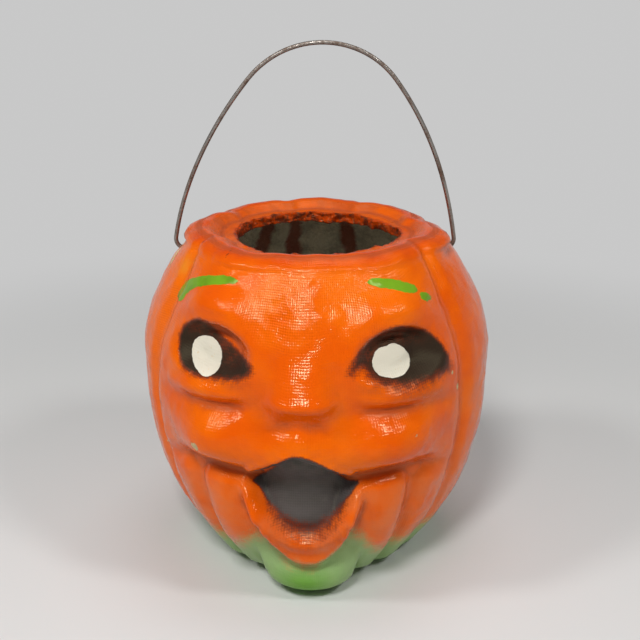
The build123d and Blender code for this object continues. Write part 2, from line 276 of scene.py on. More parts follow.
class PailPaint(bpy.types.PropertyGroup):
    """Colours of the paints and of the bare pulp."""

    orange: FloatVectorProperty(
        name="Orange", description="Gloss body paint", default=(0.87, 0.145, 0.001), subtype="COLOR")
    deep_orange: FloatVectorProperty(
        name="Deep orange", description="Body paint where it lies thick", default=(0.76, 0.094, 0.001),
        subtype="COLOR")
    rim_orange: FloatVectorProperty(
        name="Rim orange", description="Redder paint round the rim", default=(0.64, 0.062, 0.001),
        subtype="COLOR")
    # Dust and overspray in the creases, darkened as painted shade; also the dust on the ledge
    crease_dust_and_shade: FloatVectorProperty(
        name="Crease dust", description="Dust and overspray in the creases", default=(0.40, 0.066, 0.018),
        subtype="COLOR")
    # Pink dust and a painted reflection of the pale floor, low on the lobes
    low_dust_and_sheen: FloatVectorProperty(
        name="Dull pink", description="Dusty paint low on the lobes", default=(0.60, 0.200, 0.105),
        subtype="COLOR")
    black: FloatVectorProperty(
        name="Black", description="Airbrushed black of the eyes", default=(0.024, 0.012, 0.008),
        subtype="COLOR")
    mouth_black: FloatVectorProperty(
        name="Mouth black", description="Airbrushed black of the mouth", default=(0.062, 0.053, 0.052),
        subtype="COLOR")
    brown: FloatVectorProperty(
        name="Brown", description="Thin black over orange", default=(0.19, 0.026, 0.008), subtype="COLOR")
    cream: FloatVectorProperty(
        name="Cream", description="Enamel of the pupils", default=(0.78, 0.73, 0.60), subtype="COLOR")
    brow_green: FloatVectorProperty(
        name="Brow green", description="Enamel of the brows", default=(0.17, 0.36, 0.014), subtype="COLOR")
    mint: FloatVectorProperty(
        name="Mint", description="Sprayed green round the foot", default=(0.30, 0.45, 0.19), subtype="COLOR")
    leaf: FloatVectorProperty(
        name="Leaf green", description="Sprayed green on the chin", default=(0.14, 0.35, 0.040),
        subtype="COLOR")
    pulp: FloatVectorProperty(
        name="Pulp", description="Bare pulp inside", default=(0.86, 0.81, 0.67), subtype="COLOR")
    tan: FloatVectorProperty(
        name="Tan pulp", description="Bare pulp in chips and worn edges", default=(0.74, 0.56, 0.30),
        subtype="COLOR")
    smear: FloatVectorProperty(
        name="Smear", description="Yellow smear on the shoulder", default=(0.80, 0.26, 0.02), subtype="COLOR")
    run_red: FloatVectorProperty(
        name="Paint runs", description="Paint that ran down inside", default=(0.33, 0.055, 0.028),
        subtype="COLOR")
    gloss: FloatProperty(name="Gloss", description="Strength of the paint's gloss", default=0.27)
    glint: FloatVectorProperty(
        name="Glint", description="Tint of the yellowed varnish's glints", default=(1.0, 0.96, 0.60),
        subtype="COLOR")
    weave_pitch: FloatProperty(
        name="Weave pitch", description="Thread spacing of the screen that marked the pulp", default=0.00112,
        unit="LENGTH")
    weave_depth: FloatProperty(
        name="Weave depth", description="Depth of the screen's marks", default=0.000038, unit="LENGTH")


class PailBail(bpy.types.PropertyGroup):
    """Shape and finish of the bail wire."""

    lean: FloatProperty(
        name="Lean", description="How far the hand-bent crown leans to one side", default=0.0036,
        unit="LENGTH")
    slide: FloatProperty(
        name="Slide", description="How far the wire has slid along its holes", default=-0.0002, unit="LENGTH")
    steel: FloatVectorProperty(
        name="Steel", description="Worn wire", default=(0.36, 0.33, 0.30), subtype="COLOR")
    tarnish: FloatVectorProperty(
        name="Tarnish", description="Brown tarnish on the wire", default=(0.13, 0.085, 0.06), subtype="COLOR")


class PailStage(bpy.types.PropertyGroup):
    """Camera, floor and lamps."""

    camera_distance: FloatProperty(
        name="Camera distance", description="Camera to its target", default=view_distance, unit="LENGTH")
    camera_height: FloatProperty(
        name="Target height", description="Height of the camera's target", default=view_height, unit="LENGTH")
    camera_turn: FloatProperty(
        name="Camera turn", description="Camera angle round the pail", default=radians(view_turn),
        subtype="ANGLE")
    camera_rise: FloatProperty(
        name="Camera rise", description="Camera angle above level", default=radians(view_rise),
        subtype="ANGLE")
    lens: FloatProperty(name="Lens", description="Focal length in millimetres", default=view_lens)
    lens_shift: FloatProperty(
        name="Lens shift", description="Sideways shift of the lens", default=view_shift_share)
    floor_colour: FloatVectorProperty(
        name="Floor", description="Pale table top", default=(0.70, 0.70, 0.69), subtype="COLOR")
    floor_size: FloatProperty(
        name="Floor size", description="Width of the floor", default=24.0, unit="LENGTH")
    key_place: FloatVectorProperty(
        name="Key lamp", description="Place of the lamp above the camera", default=(-0.11, -0.76, 0.90),
        subtype="XYZ", unit="LENGTH")
    key_size: FloatProperty(name="Key size", description="Width of the key lamp", default=0.24, unit="LENGTH")
    key_power: FloatProperty(name="Key power", description="Power of the key lamp", default=6.2)
    top_place: FloatVectorProperty(
        name="Top lamp", description="Place of the lamp over the pail", default=(0.10, 0.12, 1.25),
        subtype="XYZ", unit="LENGTH")
    top_size: FloatProperty(name="Top size", description="Width of the top lamp", default=0.6, unit="LENGTH")
    top_power: FloatProperty(name="Top power", description="Power of the top lamp", default=2.5)
    fill_place: FloatVectorProperty(
        name="Fill lamps", description="Place of the right-hand side lamp", default=(0.67, -0.42, 0.90),
        subtype="XYZ", unit="LENGTH")
    fill_size: FloatProperty(
        name="Fill size", description="Width of a side lamp", default=0.21, unit="LENGTH")
    fill_power: FloatProperty(name="Fill power", description="Power of a side lamp", default=3.2)
    pool: FloatProperty(
        name="Pool of light", description="Reach of the lamps on the floor", default=0.22, unit="LENGTH")
    pool_edge: FloatProperty(
        name="Pool edge", description="Where the floor turns evenly pale", default=0.55, unit="LENGTH")
    far_light: FloatProperty(
        name="Far floor", description="Paleness of the floor beyond the lamps", default=0.58)
    haze_top: FloatProperty(
        name="Haze", description="How far the pale horizon reaches up", default=radians(8), subtype="ANGLE")
    sky: FloatProperty(name="Sky", description="Strength of the light all round", default=0.12)


def ease(x):
    """Zero below zero, one above one, smooth between."""
    t = np.clip(x, 0.0, 1.0)
    return t * t * (3 - 2 * t)


def bell(x):
    """One at zero, fading to nothing on both sides."""
    return np.exp(-np.square(x))


def shade(colour, share):
    """A colour made darker, or brighter by a share over one."""
    return [share * value for value in colour]


def pick_only(obj):
    """Selects one object alone and makes it active."""
    bpy.ops.object.select_all(action="DESELECT")
    obj.select_set(True)
    bpy.context.view_layer.objects.active = obj


def merge_doubles(obj):
    """Closes seams and poles, and turns the faces outwards."""
    pick_only(obj)
    bpy.ops.object.mode_set(mode="EDIT")
    bpy.ops.mesh.select_all(action="SELECT")
    bpy.ops.mesh.remove_doubles(threshold=weld_gap)
    bpy.ops.mesh.normals_make_consistent(inside=False)
    bpy.ops.object.mode_set(mode="OBJECT")


def apply_modifier(obj, kind, **settings):
    """Adds one modifier and applies it."""
    pick_only(obj)
    modifier = obj.modifiers.new(kind.title(), kind)
    for name, value in settings.items():
        setattr(modifier, name, value)
    bpy.ops.object.modifier_apply(modifier=modifier.name)


def mesh_points(mesh):
    """Places of a mesh's points, one row each."""
    places = np.zeros(len(mesh.vertices) * 3)
    mesh.vertices.foreach_get("co", places)
    return places.reshape(-1, 3)


def bumps(points, size, shift=0.0):
    """Smooth noise at each point, from about minus one to one. The shift picks another field."""
    offset = Vector((shift, shift, shift))
    return np.array([noise.noise(Vector(p) / size + offset) for p in points])


def flat_points(outline):
    """Points of angle and height as arc length at the widest level and height."""
    return np.array([(half_width * radians(angle), height) for angle, height in outline])


def measured_view():
    """Eye point of the measured view, and its directions across, up and ahead."""
    rise = radians(view_rise)
    turn = radians(view_turn)
    ahead = np.array([-cos(rise) * sin(turn), cos(rise) * cos(turn), -sin(rise)])
    across = np.array([cos(turn), sin(turn), 0])
    return np.array([0, 0, view_height]) - view_distance * ahead, across, np.cross(across, ahead), ahead


def seen_in_frame(places):
    """Pixels of the measured view that places in metres show up at."""
    eye, across, up, ahead = measured_view()
    sight = places - eye
    scale = view_lens / sensor_width * frame_pixels / (sight @ ahead)
    left_edge = frame_pixels * (0.5 - view_shift_share)
    return np.stack([left_edge + scale * (sight @ across), frame_pixels / 2 - scale * (sight @ up)], axis=-1)


def rounded(points, closed=True, steps=6):
    """Smooth curve through the points."""
    count = len(points)
    if closed:
        framed = np.vstack([points[-1:], points, points[:2]])
    else:
        framed = np.vstack([2 * points[0] - points[1], points, 2 * points[-1] - points[-2]])
    curve = []
    for i in range(count if closed else count - 1):
        a, b, c, d = framed[i:i + 4]
        for t in np.linspace(0, 1, steps, endpoint=False):
            curve.append(b + t * (c - a + t * (2 * a - 5 * b + 4 * c - d + t * (3 * (b - c) + d - a))) / 2)
    if not closed:
        curve.append(points[-1])
    return np.array(curve)


def gap_to_line(places, line, closed):
    """Distance of each place to a line, and the share of the line's length where it is nearest."""
    ends = np.roll(line, -1, axis=0) if closed else line[1:]
    starts = line if closed else line[:-1]
    best = np.full(len(places), np.inf)
    share = np.zeros(len(places))
    for i, (start, end) in enumerate(zip(starts, ends)):
        way = end - start
        t = np.clip(((places - start) @ way) / (way @ way), 0, 1)
        gap = np.linalg.norm(places - start - t[:, None] * way, axis=1)
        nearer = gap < best
        best = np.where(nearer, gap, best)
        share = np.where(nearer, (i + t) / len(starts), share)
    return best, share


def inside_loop(places, loop):
    """Which places lie inside a closed loop."""
    within = np.zeros(len(places), bool)
    for (x0, y0), (x1, y1) in zip(loop, np.roll(loop, -1, axis=0)):
        crosses = (y0 > places[:, 1]) != (y1 > places[:, 1])
        at = x0 + (places[:, 1] - y0) * (x1 - x0) / (y1 - y0 if y1 != y0 else 1)
        within ^= crosses & (places[:, 0] < at)
    return within


def depth_in_loop(places, outline):
    """Distance inside a painted outline, below zero outside it."""
    loop = rounded(np.array(outline, float))
    gap, _ = gap_to_line(places, loop, True)
    return np.where(inside_loop(places, loop), gap, -gap)


def depth_in_stroke(places, line, half_thickness):
    """Distance inside a brush stroke that thins towards its ends."""
    gap, share = gap_to_line(places, rounded(np.array(line, float), closed=False), False)
    fullness = stroke_end_share + (1 - stroke_end_share) * np.sqrt(np.sin(pi * share))
    return half_thickness * fullness - gap


def depth_in_spots(places, spots):
    """Distance inside the nearest of some round spots."""
    depth = np.full(len(places), far_away)
    for angle, height, radius in spots:
        gap = np.linalg.norm(places - (half_width * radians(angle), height), axis=1)
        depth = np.maximum(depth, radius - gap)
    return depth


def spots_in_frame(seen, spots):
    """Soft spots in the measured view, from a middle, a half width, a half height and a strength each."""
    return sum(share * bell((seen[:, 0] - x) / wide) * bell((seen[:, 1] - y) / tall)
               for x, y, wide, tall, share in spots)


def sideways_drift(angles, height):
    """How far the hand-moulded face strays from the true one at a height, in radians."""
    turn = np.degrees(angles)
    mouth = np.interp(height, *zip(*mouth_sway))
    shift = mouth * ease((mouth_sway_reach - np.abs(turn)) / mouth_sway_fade)
    for middle, sway in ((groove_angle, right_groove_sway), (-groove_angle, left_groove_sway)):
        shift = shift + np.interp(height, *zip(*sway)) * bell((turn - middle) / groove_sway_reach)
    return np.radians(shift)


def softened(field, passes):
    """Rows blurred over their neighbours, joined at the seam."""
    ring = field[:, :-1]
    for _ in range(passes):
        side = (np.roll(ring, 1, axis=1) + np.roll(ring, -1, axis=1)) / 2
        upright = (np.vstack([ring[:1], ring[:-1]]) + np.vstack([ring[1:], ring[-1:]])) / 2
        ring = (2 * ring + side + upright) / 4
    return np.hstack([ring, ring[:, :1]])


def wall_radii(tree, angles, height, from_outside):
    """Distance of the CAD wall from the pail's axis at each angle, bridged over the bail holes."""
    reach = 2 * half_width
    least = half_width / 3
    up = Vector((0, 0, height))
    found = np.full(len(angles), np.nan)
    for i, angle in enumerate(angles):
        way = Vector((sin(angle), -cos(angle), 0))
        if from_outside:
            hit = tree.ray_cast(up + way * reach, -way, reach - least)[0]
        else:
            hit = tree.ray_cast(up, way, reach)[0]
        if hit is not None:
            found[i] = hit.dot(way)
    index = np.arange(len(angles))
    known = ~np.isnan(found)
    return np.interp(index, index[known], found[known])


def eased_levels(low, high, low_round, high_round, steps):
    """Heights between two edges, closer in their rounded corners, from a row step and its end each."""
    quarter = np.radians(np.linspace(0, 90, corner_rows + 1)[:-1])
    lower = low + low_round * (1 - np.cos(quarter))
    upper = high - high_round * (1 - np.cos(quarter[::-1]))
    start = low + low_round
    middle = []
    for step, end in (*steps[:-1], (steps[-1], high - high_round)):
        middle.append(np.linspace(start, end, int((end - start) / step), endpoint=False))
        start = end
    return np.concatenate([lower, *middle, [start], upper])


def column_angles(shape):
    """Angles round the pail from the back, closer together on the face."""
    face = radians(face_reach)
    back = np.linspace(face, pi, shape.back_columns // 2 + 1)
    front = np.linspace(-face, face, shape.front_columns + 1)
    return np.concatenate([-back[::-1], front[1:-1], back])


class Mould:
    """Rows of the body's surface, from the middle of the base over the rim to the middle of the floor."""

    # Heights and roundings are in metres, reaches and spacings in degrees, passes in rounds of smoothing
    lip_band = (0.030, 0.060)
    lip_reach = 30
    lip_calm_reach = 20
    lip_calm_share = 0.7  # share of the lumps that the lips are free of
    fold_spacing = 24.5
    fold_reach = 30
    fold_band = (0.118, 0.138)
    base_round = 0.006
    crest_round = 0.004
    inside_round = 0.008
    slope_rows = 5
    tear_rows = 8
    # Smoothing for the crease mask of dust and painted shade
    sharpen_passes = 24
    dust_and_shade_passes = 40
    rim_passes = 10
    cloth_passes = 4
    shelf_passes = (10, 12)  # for where a shelf lies and for its surface
    shelf_slope = (0.8, 1.2)  # slope where a shelf begins, and over how much more it comes in
    skim = 0.00005  # how near a flat face its neighbouring row is measured
    least_facing = 0.12  # cosine of the angle to the line of sight below which a point turns away
    slack_kept_share = 0.94  # share of the screen's slack that is left one row on
    collar_mean_share = 0.7
    collar_bump_share = 1.1
    corner_hollow_steps = 4  # how many collar steps below the collar a corner's hollow lies
    wave_foot_share = 0.93  # share of the height above which the rim waves
    wave_lump_share = 0.35
    tear_mean_share = 0.65
    tear_bump_share = 0.9
    tear_limit_shares = (0.2, 1.2)
    cap_shares = (0.4, 0.75, 0.94)
    crest_shares = (0.25, 0.5, 0.75)
    ledge_shares = (0.2, 0.4, 0.6, 0.8, 0.92)
    ledge_tear_shares = (0, 0, 0.1, 0.4, 0.8)
    roof_shares = (0.12, 0.3, 0.6, 0.9)
    roof_tear_shares = (0.7, 0.4, 0.1, 0)

    def __init__(self, tree, shape):
        self.tree = tree
        self.shape = shape
        self.angles = column_angles(shape)
        self.radius = []
        self.height = []
        self.kind = []
        self.tear = []
        down = Vector((0, 0, -1))
        above = 2 * pail_height
        self.ledge = tree.ray_cast(Vector((0, half_width / 2, above)), down)[0].z
        self.floor = tree.ray_cast(Vector((0, 0, above)), down)[0].z
        self.roof = tree.ray_cast(Vector((0, half_width / 2, pail_height / 2)), -down)[0].z
        self.measure()
        self.sharpen()
        self.ripple_forehead()
        self.add_collar()
        self.round_rim()
        self.roughen()
        self.ease_shelves()
        self.lay_enamel()
        self.keep_wall()

    def add(self, kind, radius, height, tear=0.0):
        """Adds one row, closed at the seam."""
        joined = np.append(radius[:-1], radius[0])
        self.radius.append(joined)
        self.height.append(np.full(len(joined), height))
        self.kind.append(kind)
        self.tear.append(tear)

    def walls(self, kind, heights, from_outside, drifts=False, tear=0.0):
        """Adds a row of the CAD wall at each height."""
        for height in heights:
            shift = sideways_drift(self.angles, height) if drifts else 0
            self.add(kind, wall_radii(self.tree, self.angles - shift, height, from_outside), height, tear)

    def ring(self, kind, inner, outer, height, shares, tears=None):
        """Adds level rows between two edges."""
        for i, share in enumerate(shares):
            self.add(kind, inner + (outer - inner) * share, height, tears[i] if tears else 0.0)

    def measure(self):
        """Takes every row from the CAD wall."""
        steps = ((self.shape.row_step, self.lip_band[0]), (self.shape.lip_step, self.lip_band[1]),
                 self.shape.row_step)
        nothing = np.zeros(len(self.angles))
        top = pail_height - self.skim
        foot = wall_radii(self.tree, self.angles, self.skim, True)
        self.ring("base", nothing, foot, 0.0, (0,) + self.cap_shares)
        self.walls("skin", eased_levels(self.skim, top, self.base_round, self.crest_round, steps), True, True)
        inner = wall_radii(self.tree, self.angles, top, False)
        self.ring("crest", self.radius[-1], inner, pail_height, self.crest_shares)
        self.walls("slope", np.linspace(top, self.ledge + self.skim, self.slope_rows), False)
        edge = wall_radii(self.tree, self.angles, self.ledge - self.skim, False)
        self.ring("ledge", self.radius[-1], edge, self.ledge, self.ledge_shares, self.ledge_tear_shares)
        torn = np.linspace(self.ledge - self.skim, self.roof + self.skim, self.tear_rows)
        self.walls("tear", torn, False, tear=1.0)
        under = wall_radii(self.tree, self.angles, self.roof - self.skim, False)
        self.ring("roof", self.radius[-1], under, self.roof, self.roof_shares, self.roof_tear_shares)
        cavity = eased_levels(self.floor + self.skim, self.roof - self.skim, self.inside_round,
                              self.inside_round, (self.shape.cavity_step,))
        self.walls("cavity", cavity[::-1], False, True)
        middle_shares = tuple(1 - share for share in self.cap_shares[::-1]) + (1,)
        self.ring("floor", self.radius[-1], nothing, self.floor, middle_shares)
        self.radius = np.array(self.radius)
        self.height = np.array(self.height)
        self.kind = np.array(self.kind)
        self.tear = np.array(self.tear)[:, None]

    def places(self):
        """Every point, row by row."""
        turn = np.broadcast_to(self.angles, self.radius.shape)
        return np.stack([self.radius * np.sin(turn), -self.radius * np.cos(turn), self.height], axis=-1)

    def flat(self):
        """Every point as arc length at the widest level and height."""
        across = np.broadcast_to(half_width * self.angles, self.radius.shape)
        return np.stack([across, self.height], axis=-1).reshape(-1, 2)

    def seen(self):
        """Every point as a pixel of the measured view."""
        return seen_in_frame(self.places().reshape(-1, 3))

    def rim_bumps(self, size, shift):
        """Smooth noise round the rim, one value for each column."""
        ring = np.stack([np.sin(self.angles), np.cos(self.angles), 0 * self.angles], axis=-1)
        return bumps(ring, size, shift)

    def turned_away(self):
        """How far each point faces away from the measured view, from zero to one."""
        places = self.places()
        out = np.cross(np.gradient(places, axis=1), np.gradient(places, axis=0))
        sight = measured_view()[0] - places
        lengths = np.linalg.norm(out, axis=-1) * np.linalg.norm(sight, axis=-1)
        facing = np.sum(out * sight, axis=-1) / (lengths + tiny)
        return ease((self.least_facing - facing) / self.least_facing)

    def on_face(self):
        """Which points of the skin the stencils reach."""
        return (self.kind == "skin")[:, None] & (np.abs(self.angles) < radians(stencil_reach))

    def cloth(self):
        """Every point on the woven screen that the pulp was pressed on, across and along its threads."""
        step = np.linalg.norm(np.diff(self.places(), axis=0), axis=-1)
        mean = step.mean(axis=1)
        along = np.zeros(self.radius.shape)
        slack = np.zeros(len(self.angles))
        for row in range(1, len(along)):
            slack = self.slack_kept_share * slack + step[row - 1] - mean[row - 1]
            along[row] = mean[:row].sum() + slack
        across = np.broadcast_to(half_width * self.angles, self.radius.shape)
        return np.stack([across, softened(along, self.cloth_passes)], axis=-1)

    def crease(self, passes):
        """How far each point of the skin lies below its surroundings."""
        skin = self.kind == "skin"
        depth = np.zeros(self.radius.shape)
        depth[skin] = softened(self.radius[skin], passes) - self.radius[skin]
        return depth

    def sharpen(self):
        """Deepens the creases and lifts the ridges between them."""
        inside = ease(self.height / (2 * self.base_round))
        inside = inside * ease((pail_height - self.height) / self.base_round)
        self.radius = self.radius - self.shape.crispness * inside * self.crease(self.sharpen_passes)

    def ease_shelves(self):
        """Smooths the level surfaces of the lips, where the rows lie far apart."""
        skin = self.kind == "skin"
        wall = self.radius[skin]
        slope = np.abs(np.gradient(wall, axis=0) / np.gradient(self.height[skin], axis=0))
        slope_start, slope_fade = self.shelf_slope
        where_passes, wall_passes = self.shelf_passes
        steep = ease((slope - slope_start) / slope_fade) * (np.abs(self.angles) < radians(self.lip_reach))
        smooth = softened(wall, wall_passes) - wall
        self.radius[skin] = wall + softened(steep, where_passes) * smooth

    def ripple_forehead(self):
        """Soft upright folds between the brows and the rim, with one in the middle."""
        turn = np.degrees(self.angles)
        wave = np.cos(2 * pi * turn / self.fold_spacing)
        fold = self.shape.fold_height * wave * bell(turn / self.fold_reach)
        low, high = self.fold_band
        band = ease((self.height - low) / (high - low)) * ease((pail_height - self.height) / self.base_round)
        self.radius = self.radius + (self.kind == "skin")[:, None] * band * fold

    def add_collar(self):
        """Band round the rim, with a groove under it."""
        step = self.shape.collar_step
        foot = pail_height - self.shape.collar_height
        uneven = self.collar_mean_share + self.collar_bump_share * self.rim_bumps(size=0.2, shift=4.0)
        over = (self.height - foot) / step
        band = self.shape.collar_stand * ease(over) - self.shape.collar_groove * bell(over)
        band = band * uneven
        below = (foot - self.height) / (self.corner_hollow_steps * step)
        for angle, stand, reach in rim_corners:
            beside = bell((np.degrees(self.angles) - angle) / reach)
            band = band + stand * (ease(over) - bell(below - 1)) * beside
        self.radius = self.radius + (self.kind == "skin")[:, None] * band

    def round_rim(self):
        """Rounds the crest off, from the collar to the ledge."""
        rim = (self.kind == "slope") | (self.kind == "crest")
        rim |= (self.kind == "skin") & (self.height[:, 0] > pail_height - self.crest_round / 2)
        index = np.flatnonzero(rim)
        for _ in range(self.rim_passes):
            for field in (self.radius, self.height):
                field[index] = (field[index - 1] + 2 * field[index] + field[index + 1]) / 4

    def roughen(self):
        """Lumps all over, a wavy rim and a torn hole."""
        shape = self.shape
        size = self.radius.shape
        points = self.places().reshape(-1, 3)
        soft = bumps(points, shape.lump_size) + bumps(points, shape.lump_size / 2, 7.0) / 2
        grain = bumps(points, shape.grain_size, 1.0)
        ragged = bumps(points, shape.tear_size, 3.0) + bumps(points, shape.tear_size / 2.5, 5.0) / 2
        flaky = bumps(points, shape.tear_size, 13.0) + bumps(points, 3 * shape.tear_size, 17.0)
        soft, grain, ragged, flaky = [field.reshape(size) for field in (soft, grain, ragged, flaky)]
        kind = self.kind[:, None]
        outer = np.isin(kind, ("skin", "crest", "slope"))
        wall = outer | (kind == "cavity")
        wave = self.rim_bumps(size=0.55, shift=2.0) + self.rim_bumps(size=0.2, shift=9.0) / 2
        turn = np.degrees(self.angles)
        off_lips = (self.height - sum(self.lip_band) / 2) / self.lip_band[0]
        calm = 1 - self.lip_calm_share * bell(turn / self.lip_calm_reach) * bell(off_lips)
        height_share = self.height / pail_height
        near_rim = ease((height_share - self.wave_foot_share) / (1 - self.wave_foot_share))
        near_rim = near_rim * (kind != "cavity")
        lumps = shape.lump_height * soft + outer * shape.grain_height * grain
        self.radius = self.radius + wall * calm * lumps
        patchy = self.tear_mean_share + self.tear_bump_share * self.rim_bumps(size=0.35, shift=21.0)
        patchy = np.clip(patchy, *self.tear_limit_shares)
        self.radius = self.radius + self.tear * shape.tear_depth * patchy * (ragged + flaky / 2)
        self.height = self.height + near_rim * shape.rim_wave * (wave + self.wave_lump_share * soft)
        self.height = self.height + self.tear * shape.tear_depth / 2 * flaky

    def lay_enamel(self):
        """Raises the brush strokes of the brows."""
        stroke = ease(brow_depth(self.seen()) / brow_edge).reshape(self.radius.shape)
        self.radius = self.radius + self.on_face() * self.shape.enamel * stroke

    def keep_wall(self):
        """Draws the cavity in behind the deepest creases."""
        skin = self.kind == "skin"
        cavity = np.flatnonzero(self.kind == "cavity")
        near = self.shape.cavity_step
        for row in cavity:
            level = self.height[row].mean()
            beside = skin & (np.abs(self.height.mean(axis=1) - level) < near)
            if beside.any():
                limit = self.radius[beside].min(axis=0) - self.shape.least_wall
                self.radius[row] = np.minimum(self.radius[row], limit)


def brow_depth(seen):
    """Pixels inside the green strokes over the eyes."""
    strokes = ((left_brow, brow_half), (right_brow, brow_half), (right_brow_tip, brow_tip_half))
    return np.max([depth_in_stroke(seen, line, half) for line, half in strokes], axis=0)


def set_mask(mesh, order, name, values):
    """Stores one paint mask on the mesh's points."""
    sorted_values = np.zeros(len(order), np.float32)
    sorted_values[order] = np.ravel(values)
    mesh.attributes.new(name, "FLOAT", "POINT").data.foreach_set("value", sorted_values)


def paint_masks(mesh, order, mould):
    """Where each paint lies, point by point."""
    size = mould.radius.shape
    kind = np.broadcast_to(mould.kind[:, None], size).ravel()
    angle = np.degrees(np.broadcast_to(mould.angles, size).ravel())
    height = mould.height.ravel()
    flat = mould.flat()
    outside = np.isin(kind, ("skin", "base", "crest"))
    inside = np.isin(kind, ("roof", "cavity", "floor"))

    def store(name, values, where=outside, elsewhere=far_away):
        """Stores one mask, with another value elsewhere."""
        set_mask(mesh, order, name, np.where(where, values, elsewhere))

    # Stencilled paint: crisp edges above, soft airbrushed ones below, softest under the right eye
    face = mould.on_face().ravel()
    seen = mould.seen()
    low_eye = ease((seen[:, 1] - eye_soften[0]) / eye_soften[1])
    eye_soft = eye_edge + low_eye * np.where(angle > 0, right_eye_blur, left_eye_blur)
    store("eye", np.maximum(depth_in_loop(seen, left_eye), depth_in_loop(seen, right_eye)) / eye_soft, face)
    store("eye_thin", spots_in_frame(seen, thin_spots), face, 0.0)
    mouth_soft = mouth_edge + mouth_blur * ease((seen[:, 1] - mouth_soften[0]) / mouth_soften[1])
    away = mould.turned_away().ravel()
    hidden = (np.abs(seen - mouth_box[0]) < mouth_box[1]).all(axis=1) * away
    store("mouth", depth_in_loop(seen, mouth_outline) / mouth_soft + well_inside * hidden, face)
    store("pupil", np.maximum(depth_in_loop(seen, left_pupil), depth_in_loop(seen, right_pupil)), face)
    store("brow", brow_depth(seen), face)
    store("haze", spots_in_frame(seen, haze_spots), face, 0.0)

    # Green sprayed round the foot, higher beside the chin
    rise = np.where(angle > 0, right_green_rise, left_green_rise)
    foot_edge = foot_green_top + rise * bell((np.abs(angle) - beside_chin) / beside_chin_reach)
    off_lip = np.where(face, -depth_in_loop(seen, lip_outline), frame_pixels)
    off_lip = off_lip + well_inside * away * ease((lip_under - height) / lip_under_fade)
    store("green", np.minimum((foot_edge - height) / foot_green_fade, off_lip / lip_edge))
    store("leaf", bell(angle / chin_reach) * ease((chin_green_top - height) / chin_green_fade), elsewhere=0.0)

    # Wear, painted shade in the creases and the ledge's corner, and a painted floor reflection low on the
    # body
    # Painted shade along the corner where the rim's slope meets the ledge
    corner = np.exp(-np.abs(np.arange(size[0]) - np.flatnonzero(mould.kind == "ledge")[0]))
    corner_shade = corner_shade_share * np.repeat(corner, size[1])
    # Creases darkened with dust and painted shade by their depth; the ledge rows carry the corner's painted
    # shade
    crease = np.where(outside, mould.crease(mould.dust_and_shade_passes).ravel() / crease_full, corner_shade)
    store("crease", crease, ~inside, 0.0)
    # Pink dust and painted floor reflection, stronger towards the bottom
    store("low", ease((low_sheen_top - height) / low_sheen_fade), kind == "skin", 0.0)
    rubbed = depth_in_stroke(flat, flat_points(bare_edge), bare_half)
    worn = np.maximum(depth_in_spots(flat, paint_chips), rubbed)
    store("chip", worn / chip_edge)
    smear = bell((angle - smear_angle) / smear_reach) * bell((height - smear_height) / smear_half_height)
    store("smear", smear, elsewhere=0.0)
    crack = ease(depth_in_stroke(flat, flat_points(rim_crack), crack_half) / crack_half)
    store("crack", crack, kind != "cavity", 0.0)
    top = np.isin(kind, ("slope", "ledge"))
    store("ledge", 1.0, top, 0.0)
    red_rim = ease((height - rim_paint_foot) / rim_paint_fade)
    store("rim", np.where(top, ledge_red_share, red_rim), outside | top, 0.0)
    store("torn", np.broadcast_to(mould.tear, size).ravel(), elsewhere=0.0, where=kind != "roof")

    # Inside and underneath
    store("bare", 1.0, inside, 0.0)
    base_reach = np.linalg.norm(mould.places().reshape(-1, 3)[:, :2], axis=1)
    store("under", ease((base_paint_edge - base_reach) / base_paint_fade), kind == "base", 0.0)
    runs = np.full(len(kind), far_away)
    for middle, half, length in paint_runs:
        aside = np.abs((angle - middle + 180) % 360 - 180)
        across = half - half_width * np.radians(aside)
        down = height - (mould.roof - length)
        runs = np.maximum(runs, np.minimum(across, down / run_taper) / run_edge)
    store("run", runs, inside)


def mould_mesh(name, mould):
    """Closed skin through the mould's rows, from a grid rolled into a shell."""
    count_rows, count_columns = mould.radius.shape
    bpy.ops.object.select_all(action="DESELECT")
    bpy.ops.mesh.primitive_grid_add(x_subdivisions=count_columns - 1, y_subdivisions=count_rows - 1, size=1)
    shell = bpy.context.object
    shell.name = name
    mesh = shell.data
    start = mesh_points(mesh)
    order = np.lexsort((start[:, 0].round(6), start[:, 1].round(6)))
    places = np.zeros_like(start)
    places[order] = mould.places().reshape(-1, 3)
    mesh.vertices.foreach_set("co", places.ravel())
    cloth = np.zeros((len(mesh.vertices), 2))
    cloth[order] = mould.cloth().reshape(-1, 2)
    corners = np.zeros(len(mesh.loops), np.int32)
    mesh.loops.foreach_get("vertex_index", corners)
    mesh.uv_layers.active.name = "screen"
    mesh.uv_layers.active.data.foreach_set("uv", cloth[corners].ravel())
    return shell, order


